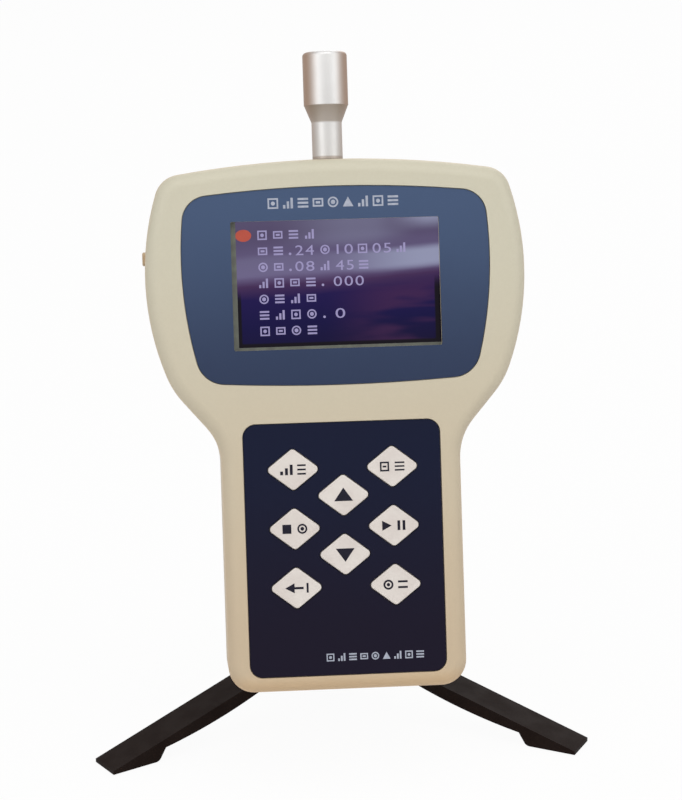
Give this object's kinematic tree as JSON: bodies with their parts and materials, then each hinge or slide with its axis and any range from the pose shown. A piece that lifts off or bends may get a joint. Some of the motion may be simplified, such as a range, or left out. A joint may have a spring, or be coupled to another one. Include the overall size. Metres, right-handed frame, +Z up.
{
  "type": "airborne particle counter",
  "caption": "Handheld airborne particle counter with display, keypad and metal inlet probe, on a folding table tripod with ball head.",
  "frame": {"origin": "on the table, under the middle of the whole object's box", "axes": "+Z up, +X to the right of somebody who reads the display, +Y away from them"},
  "size_m": [0.182, 0.181, 0.2527],
  "materials": {
    "case": "ivory moulded plastic, lightly textured",
    "overlay_blue": "printed blue film, satin",
    "panel_navy": "printed navy film, satin",
    "key_white": "off-white moulded keys",
    "button_tan": "tan moulded button",
    "display": "glossy lit display",
    "probe_metal": "fine turned and satin",
    "seal": "dark washer",
    "tripod_plastic": "black moulded plastic, satin",
    "foot_rubber": "matte",
    "board": "green circuit board",
    "dark_plastic": "black moulded plastic",
    "steel": "plated steel",
    "brass": "turned",
    "black_metal": "black anodised",
    "cell": "sleeved cell",
    "hose": "translucent silicone",
    "pale_plastic": "white moulded plastic"
  },
  "bodies": {
    "stand": {"tripod_hub": "tripod_plastic", "leg_pins": "steel", "ball_cup": "tripod_plastic"},
    "left_leg": {"leg_front_left": "tripod_plastic", "foot_front_left": "foot_rubber"},
    "right_leg": {"leg_front_right": "tripod_plastic", "foot_front_right": "foot_rubber"},
    "rear_leg": {"leg_rear": "tripod_plastic", "foot_rear": "foot_rubber"},
    "clamp": {"clamp_screw": "steel", "clamp_knob": "tripod_plastic"},
    "ball": {"ball_stud": "steel", "platform": "tripod_plastic", "platform_pad": "foot_rubber"},
    "counter": {"front_shell": "case", "rear_shell": "case", "display_overlay": "overlay_blue", "keypad_panel": "panel_navy", "display_frame": "black_metal", "display_glass": "display", "inlet_probe": "probe_metal", "inlet_seal": "seal", "dc_jack": "dark_plastic", "jack_pin": "brass", "data_port": "steel", "key_switches": "dark_plastic", "key_board": "board", "buzzer": "dark_plastic", "display_backlight": "pale_plastic", "display_board": "board", "board_spacers": "brass", "main_board": "board", "power_switch": "dark_plastic", "inlet_nut": "brass", "inlet_fitting": "brass", "optical_chamber": "black_metal", "laser_module": "brass", "light_trap": "black_metal", "detector_board": "board", "pump_head": "dark_plastic", "pump_motor": "steel", "exhaust_filter": "pale_plastic", "sample_hose": "hose", "exhaust_hose": "hose", "battery_holder": "dark_plastic", "battery_contacts": "steel", "battery_cell_left": "cell", "battery_cell_right": "cell", "tripod_insert": "brass", "case_screws": "steel", "board_screws": "steel"},
    "power": {"power_button": "button_tan"},
    "key_limit": {"key_limit": "key_white"},
    "key_print": {"key_print": "key_white"},
    "key_up": {"key_up": "key_white"},
    "key_mode": {"key_mode": "key_white"},
    "key_sample": {"key_sample": "key_white"},
    "key_down": {"key_down": "key_white"},
    "key_exit": {"key_exit": "key_white"},
    "key_confirm": {"key_confirm": "key_white"}
  },
  "joints": [
    {"name": "left_leg_fold", "type": "hinge", "parent": "stand", "child": "left_leg", "pos_m": [-0.01126, -0.01722, 0.02354], "axis": [0.5, -0.866, 0], "range_deg": [0, 72.8]},
    {"name": "right_leg_fold", "type": "hinge", "parent": "stand", "child": "right_leg", "pos_m": [0.01126, -0.01722, 0.02354], "axis": [0.5, 0.866, 0], "range_deg": [0, 72.8]},
    {"name": "rear_leg_fold", "type": "hinge", "parent": "stand", "child": "rear_leg", "pos_m": [0, 0.00228, 0.02354], "axis": [-1, 0, 0], "range_deg": [0, 72.8]},
    {"name": "clamp_turn", "type": "hinge", "parent": "stand", "child": "clamp", "pos_m": [0, -0.01072, 0.0732], "axis": [1, 0, 0], "continuous": true},
    {"name": "case_tilt", "type": "hinge", "parent": "stand", "child": "ball", "pos_m": [0, -0.01072, 0.0732], "axis": [-1, 0, 0], "range_deg": [0, 74]},
    {"name": "case_turn", "type": "hinge", "parent": "ball", "child": "counter", "pos_m": [0, -0.01072, 0.0732], "axis": [0, -0.9613, 0.2756], "range_deg": [-90, 90]},
    {"name": "key_limit_press", "type": "slide", "parent": "counter", "child": "key_limit", "axis": [0, 0.9613, -0.2756], "range_m": [0, 0.0005], "stiffness_N_per_m": 1000},
    {"name": "key_print_press", "type": "slide", "parent": "counter", "child": "key_print", "axis": [0, 0.9613, -0.2756], "range_m": [0, 0.0005], "stiffness_N_per_m": 1000},
    {"name": "key_up_press", "type": "slide", "parent": "counter", "child": "key_up", "axis": [0, 0.9613, -0.2756], "range_m": [0, 0.0005], "stiffness_N_per_m": 1000},
    {"name": "key_mode_press", "type": "slide", "parent": "counter", "child": "key_mode", "axis": [0, 0.9613, -0.2756], "range_m": [0, 0.0005], "stiffness_N_per_m": 1000},
    {"name": "key_sample_press", "type": "slide", "parent": "counter", "child": "key_sample", "axis": [0, 0.9613, -0.2756], "range_m": [0, 0.0005], "stiffness_N_per_m": 1000},
    {"name": "key_down_press", "type": "slide", "parent": "counter", "child": "key_down", "axis": [0, 0.9613, -0.2756], "range_m": [0, 0.0005], "stiffness_N_per_m": 1000},
    {"name": "key_exit_press", "type": "slide", "parent": "counter", "child": "key_exit", "axis": [0, 0.9613, -0.2756], "range_m": [0, 0.0005], "stiffness_N_per_m": 1000},
    {"name": "key_confirm_press", "type": "slide", "parent": "counter", "child": "key_confirm", "axis": [0, 0.9613, -0.2756], "range_m": [0, 0.0005], "stiffness_N_per_m": 1000},
    {"name": "power_press", "type": "slide", "parent": "counter", "child": "power", "axis": [1, 0, 0], "range_m": [0, 0.0005], "stiffness_N_per_m": 1000}
  ]
}
